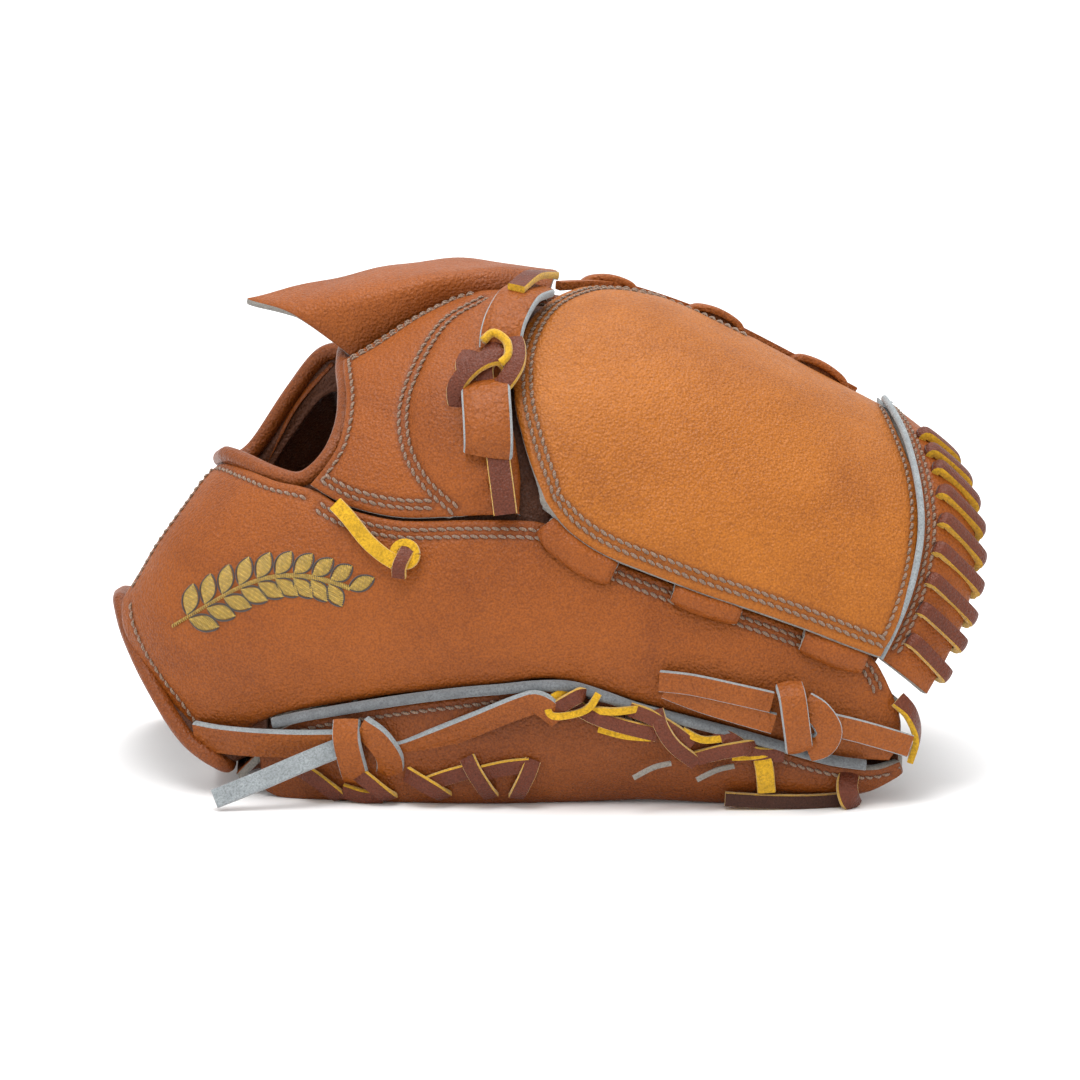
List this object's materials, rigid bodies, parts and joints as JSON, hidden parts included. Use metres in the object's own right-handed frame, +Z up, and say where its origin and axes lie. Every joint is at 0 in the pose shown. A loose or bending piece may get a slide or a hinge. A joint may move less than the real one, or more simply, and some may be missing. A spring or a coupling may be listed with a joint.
{
  "type": "baseball glove",
  "caption": "Left-hand closed-web leather pitcher's glove, laced and stitched, resting palm down with its thumb side showing.",
  "frame": {"origin": "centre of the bounding box, on the floor the glove rests on", "axes": "+X from the wrist to the top of the web, +Y from the thumb side to the little finger side, +Z up"},
  "size_m": [0.3053, 0.1816, 0.1761],
  "materials": {
    "tan_leather": "satin",
    "web_leather": "satin",
    "leather_flesh_side": "matt",
    "wool_fleece": "matt",
    "felt_padding": "matt",
    "lining_leather": "satin",
    "brown_lace": "satin",
    "yellow_lace": "satin",
    "grey_welt": "matt"
  },
  "bodies": {
    "hand": {"anchor_lace": "yellow_lace", "heel_pad_pinky": "felt_padding", "heel_pad_thumb": "felt_padding", "index_back": "tan_leather", "index_base_patch": "web_leather", "index_pad": "felt_padding", "index_side_back": "tan_leather", "lace_index_to_middle": "brown_lace", "lace_middle_to_ring": "brown_lace", "lace_ring_to_pinky": "brown_lace", "middle_back": "tan_leather", "middle_pad": "felt_padding", "opening_binding": "tan_leather", "palm_leather": "tan_leather", "palm_lining": "lining_leather", "pinky_back": "tan_leather", "pinky_pad": "felt_padding", "pinky_side_back": "tan_leather", "ring_back": "tan_leather", "ring_pad": "felt_padding", "strap_fleece": "wool_fleece", "thumb_base_back": "tan_leather", "web_loop_knot": "brown_lace", "web_loop_lower": "tan_leather", "web_loop_tail": "brown_lace", "web_loop_upper": "tan_leather", "wrist_binding": "tan_leather", "wrist_strap": "tan_leather"},
    "thumb": {"heel_lace": "brown_lace", "thumb_back": "tan_leather", "thumb_bottom_lace": "brown_lace", "thumb_lace": "brown_lace", "thumb_pad": "felt_padding", "thumb_palm": "tan_leather", "thumb_tie_web_knot": "tan_leather", "thumb_tie_web_left": "tan_leather", "thumb_tie_web_right": "tan_leather", "thumb_tie_wrist_knot": "tan_leather", "thumb_tie_wrist_left": "tan_leather", "thumb_tie_wrist_right": "tan_leather", "thumb_tie_wrist_tail": "leather_flesh_side", "thumb_tip_lace": "brown_lace", "thumb_welt": "grey_welt"},
    "web": {"web_back": "web_leather", "web_front": "tan_leather", "web_end_strip": "tan_leather", "web_end_welt": "grey_welt", "web_whip_lace": "brown_lace", "web_tab_1": "tan_leather", "web_tab_2": "tan_leather", "web_tab_3": "tan_leather", "web_top_lace": "brown_lace"},
    "flap": {"finger_flap": "tan_leather"}
  },
  "joints": [
    {"name": "pocket_close", "type": "hinge", "parent": "hand", "child": "thumb", "pos_m": [-0.1008, -0.06434, 0.01053], "axis": [0.7554, 0.04, 0.6541], "range_deg": [-2, 8], "stiffness_Nm_per_rad": 4},
    {"name": "web_fold", "type": "hinge", "parent": "hand", "child": "web", "pos_m": [-0.0008, 0.00832, 0.16479], "axis": [0.9431, 0.0871, -0.3208], "range_deg": [-0.6, 2.1], "stiffness_Nm_per_rad": 2},
    {"name": "flap_lift", "type": "hinge", "parent": "hand", "child": "flap", "pos_m": [-0.0678, -0.0066, 0.14751], "axis": [0.9088, 0.2113, 0.3597], "range_deg": [-8, 35], "stiffness_Nm_per_rad": 0.3}
  ],
  "couplings": [
    {"joint": "web_fold", "follows": "pocket_close", "ratio": 0.25}
  ]
}
